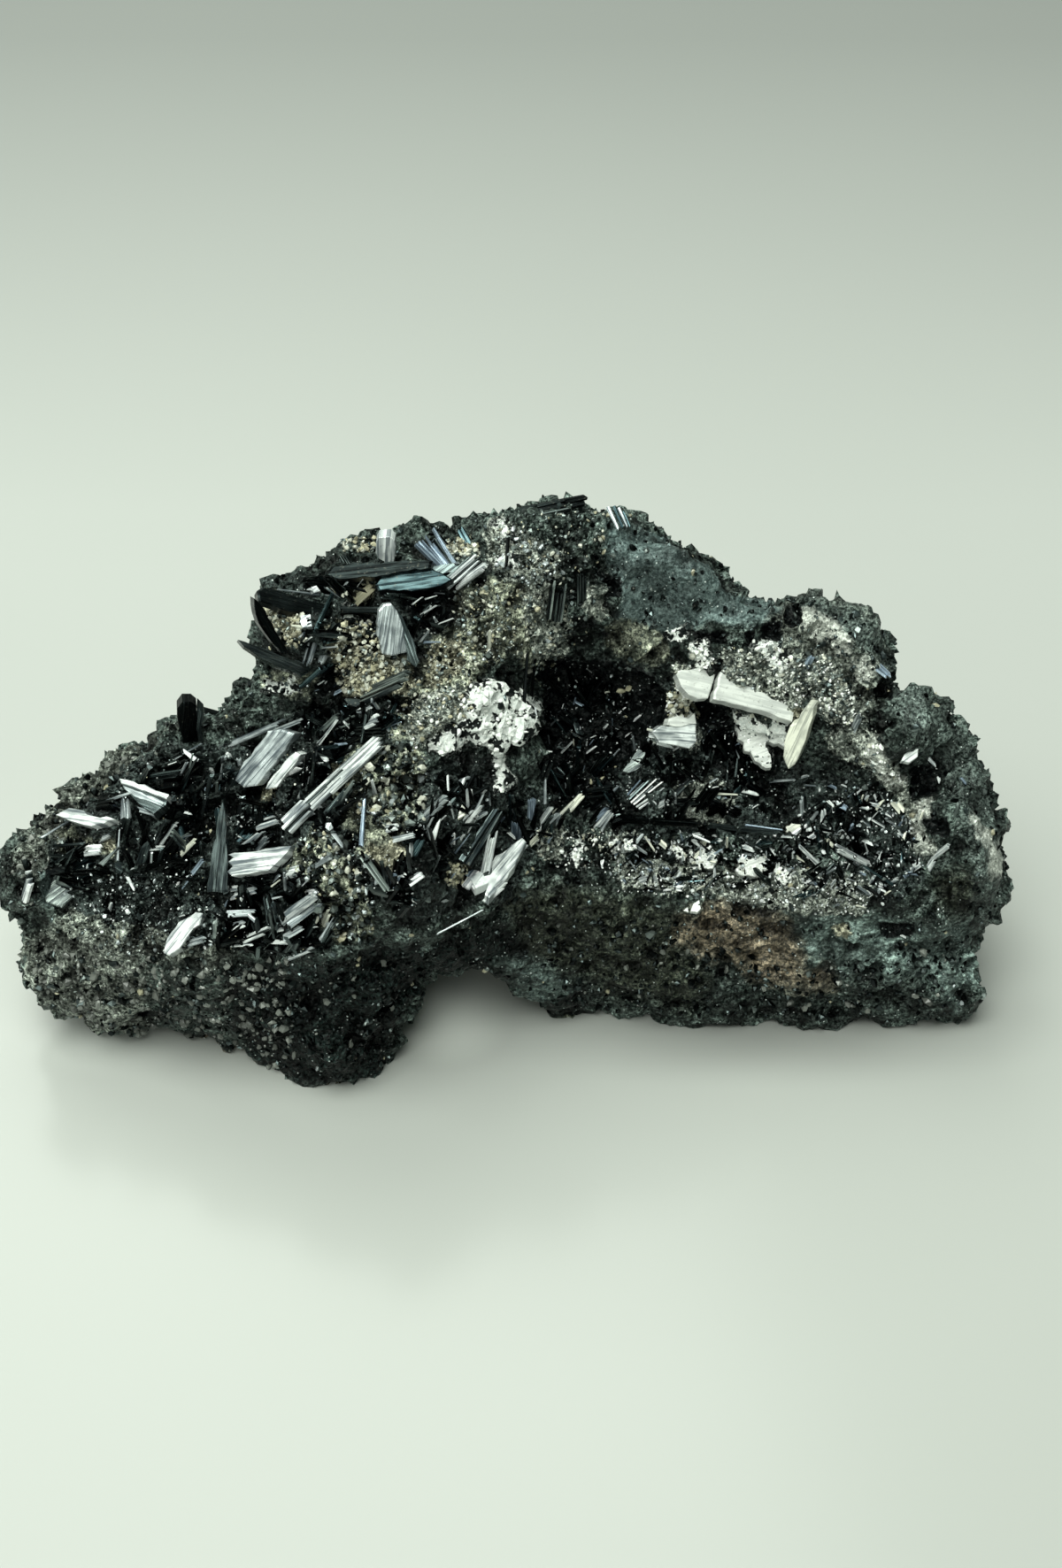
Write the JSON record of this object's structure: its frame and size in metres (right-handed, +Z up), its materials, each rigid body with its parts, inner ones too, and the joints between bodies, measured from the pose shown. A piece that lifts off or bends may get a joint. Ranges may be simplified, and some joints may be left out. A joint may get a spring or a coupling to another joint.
{
  "type": "manganite mineral specimen",
  "caption": "Hand-sized lump of dark manganese ore standing on flat spots, its sloping front lined with steel-grey bladed crystals and white druse.",
  "frame": {"origin": "middle of the specimen's box, at the surface it stands on", "axes": "+X along the specimen's length, to the right of someone facing the crystals; +Y away from the crystal face; +Z up"},
  "size_m": [0.072, 0.0324, 0.0365],
  "materials": {
    "ore": "rough, granular, sub-metallic ore with rust-brown and grey-green patches",
    "dark_crystal": "black sub-metallic striated crystal, glossy on its faces",
    "steel_crystal": "steel-grey metallic striated crystal",
    "pale_crystal": "silvery to chalky striated crystal, bright where it faces up",
    "white_coating": "dull white granular crust"
  },
  "bodies": {
    "root": {"matrix": "ore", "corner_prism": "dark_crystal", "spike_blade": "dark_crystal", "cluster_edge_blade": "dark_crystal", "cluster_side_blade": "dark_crystal", "upright_blade": "steel_crystal", "summit_crystal": "steel_crystal", "summit_fan": "steel_crystal", "dark_long_blade": "dark_crystal", "wing_blade": "pale_crystal", "striped_blade": "steel_crystal", "broad_blade": "steel_crystal", "upright_slab": "dark_crystal", "long_bright_blade": "pale_crystal", "bed_blade": "pale_crystal", "front_blade": "pale_crystal", "splinter_bundle": "pale_crystal", "grey_lath": "steel_crystal", "buried_blade": "pale_crystal", "leaf_blade": "pale_crystal", "fibrous_block": "pale_crystal", "needle_fan": "steel_crystal", "peak_crystal": "steel_crystal", "notch_crystal": "steel_crystal", "left_bed_crystals": "dark_crystal", "upper_cluster_crystals": "dark_crystal", "vug_crystals": "dark_crystal", "right_field_crystals": "dark_crystal", "white_druse": "white_coating", "pale_druse": "white_coating"}
  },
  "joints": []
}
